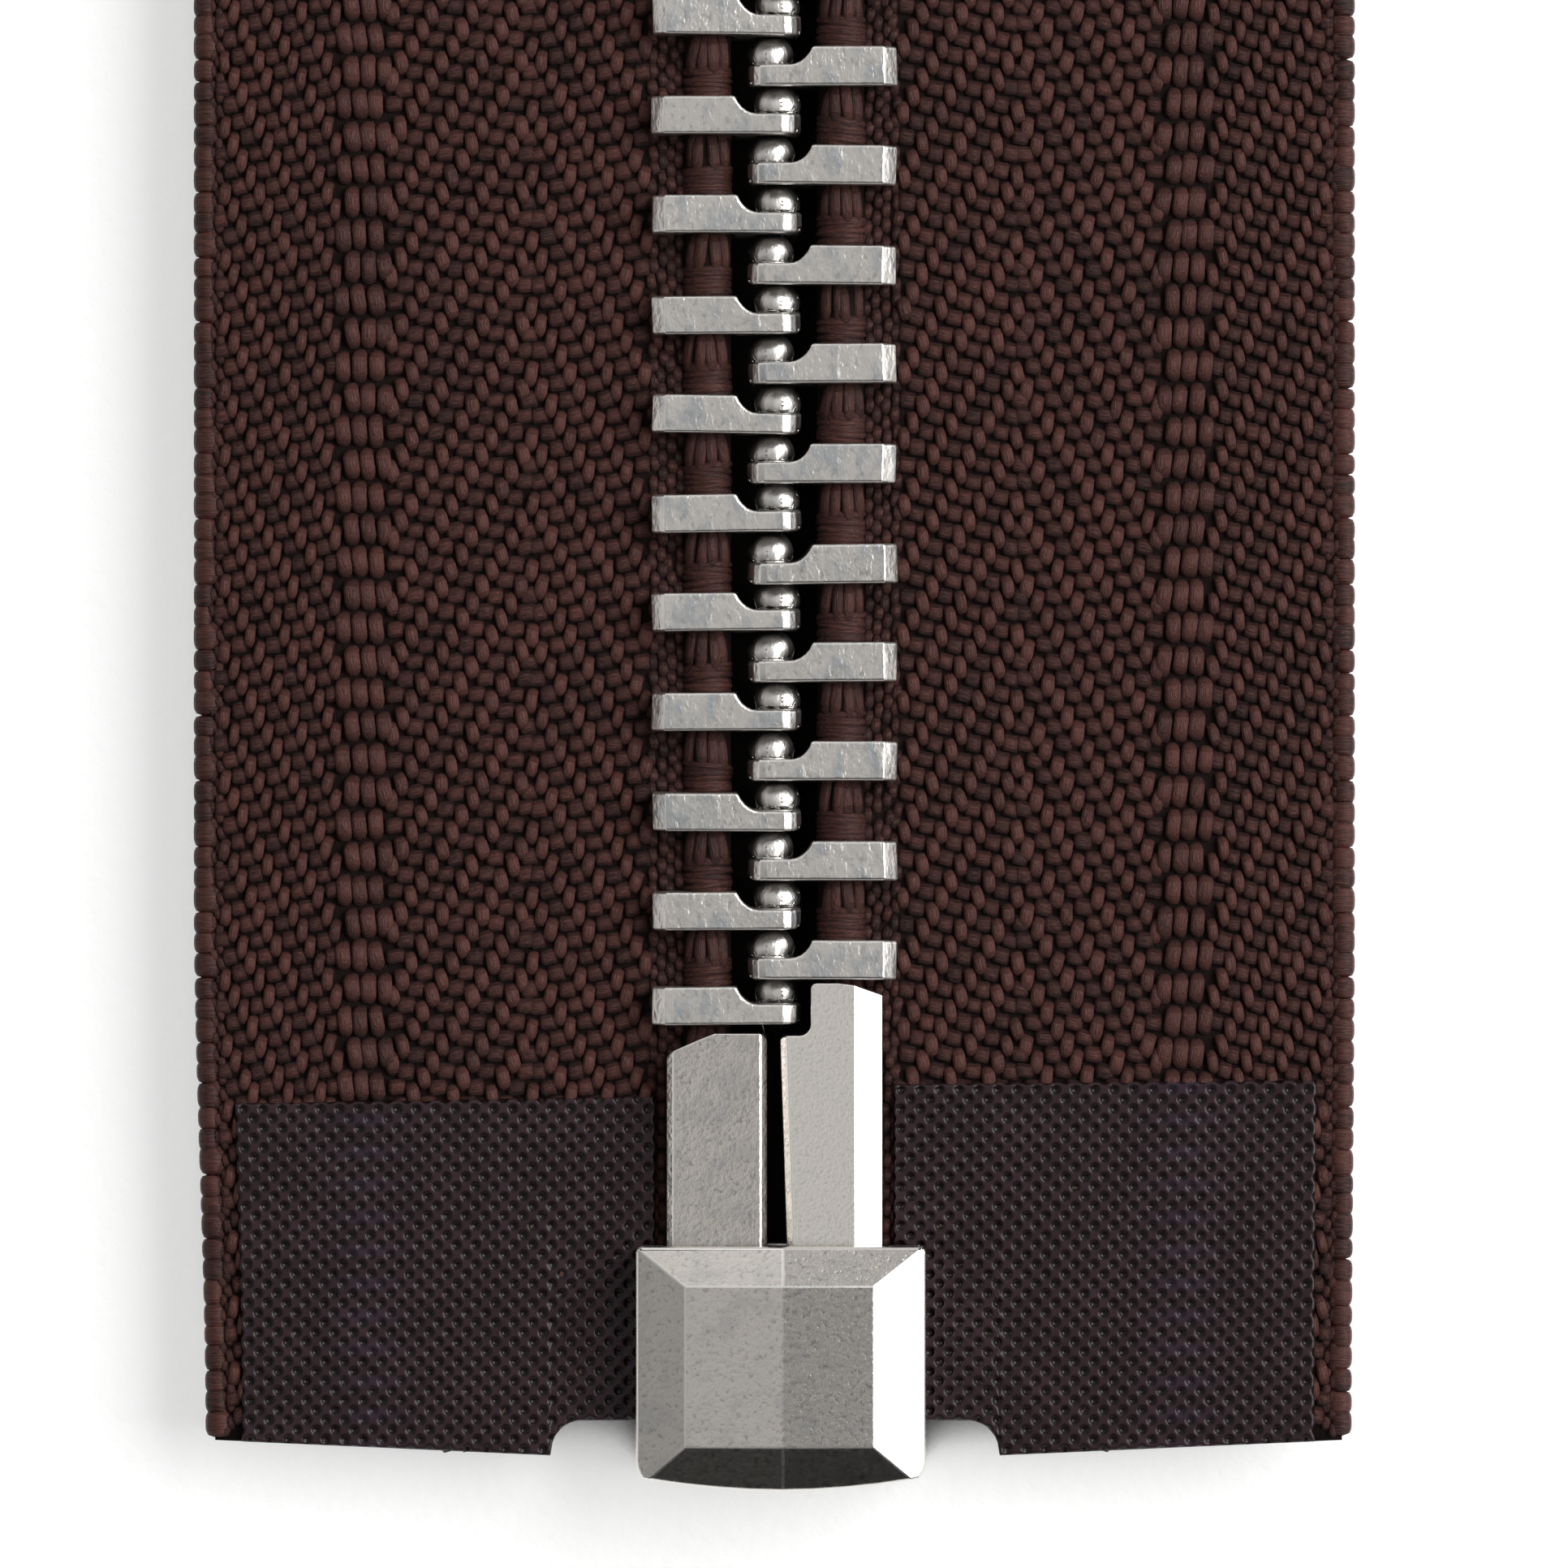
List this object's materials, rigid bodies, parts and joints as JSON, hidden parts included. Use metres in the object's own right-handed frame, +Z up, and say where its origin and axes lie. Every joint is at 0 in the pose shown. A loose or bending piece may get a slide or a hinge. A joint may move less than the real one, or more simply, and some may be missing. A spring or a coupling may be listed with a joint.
{
  "type": "separating zipper",
  "caption": "Metal-tooth separating zipper with woven tapes, film-reinforced ends, box and pin bottom, locking slider and pull tab, closed and lying flat.",
  "frame": {"origin": "middle of the bounding box across and along the zipper, on the surface that it lies on", "axes": "+X across the tapes to the insertion-pin side, +Y along the chain from the retainer box to the top stops, +Z up from the surface, towards the pull tab's side"},
  "size_m": [0.0326, 0.115, 0.0069],
  "materials": {
    "box_metal": "die-cast zinc with a grainy dull nickel plating",
    "pin_metal": "stamped nickel-silver wire, lightly grained",
    "tooth_metal": "polished nickel silver with bright edges",
    "tape_yarn": "woven polyester in dark brown",
    "cord_yarn": "twisted core yarn",
    "film": "heat-bonded clear film embossed with small dots",
    "slider_metal": "die-cast zinc with dull nickel plating",
    "spring": "hardened spring strip"
  },
  "bodies": {
    "lower_end": {"retainer_box": "box_metal", "box_pin": "pin_metal", "insertion_pin": "pin_metal", "left_tape_foot": "tape_yarn", "right_tape_foot": "tape_yarn", "left_front_film": "film", "left_back_film": "film", "right_front_film": "film", "right_back_film": "film"},
    "left_stringer": {"left_tape": "tape_yarn", "left_cord": "cord_yarn", "left_teeth": "tooth_metal", "left_top_stop": "tooth_metal"},
    "right_stringer": {"right_tape": "tape_yarn", "right_cord": "cord_yarn", "right_teeth": "tooth_metal", "right_top_stop": "tooth_metal"},
    "slider": {"slider_body": "slider_metal", "slider_cover": "slider_metal"},
    "lock": {"lock_spring": "spring"},
    "pull": {"pull_tab": "slider_metal"}
  },
  "joints": [
    {"name": "slider_travel", "type": "slide", "parent": "lower_end", "child": "slider", "axis": [0, -1, 0], "range_m": [0, 0.0817], "deforming": ["lock_spring"]},
    {"name": "left_swing", "type": "hinge", "parent": "lower_end", "child": "left_stringer", "pos_m": [-0.0017, -0.04593, 0.00205], "axis": [0, 0, 1], "range_deg": [0, 16], "deforming": ["left_tape", "left_cord", "left_teeth"]},
    {"name": "right_swing", "type": "hinge", "parent": "lower_end", "child": "right_stringer", "pos_m": [0.0017, -0.04467, 0.00205], "axis": [0, 0, -1], "range_deg": [0, 16], "deforming": ["right_tape", "right_cord", "right_teeth"]},
    {"name": "pull_swing", "type": "hinge", "parent": "slider", "child": "pull", "pos_m": [0, 0.03616, 0.00475], "axis": [-1, 0, 0], "range_deg": [0, 175]},
    {"name": "lock_lift", "type": "slide", "parent": "slider", "child": "lock", "axis": [0, 0, 1], "range_m": [0, 0.0006]}
  ],
  "couplings": [
    {"joint": "left_swing", "follows": "slider_travel", "rad_per_m": 3.41},
    {"joint": "right_swing", "follows": "slider_travel", "rad_per_m": 3.41},
    {"joint": "lock_lift", "follows": "pull_swing", "m_per_rad": 0.000196}
  ]
}
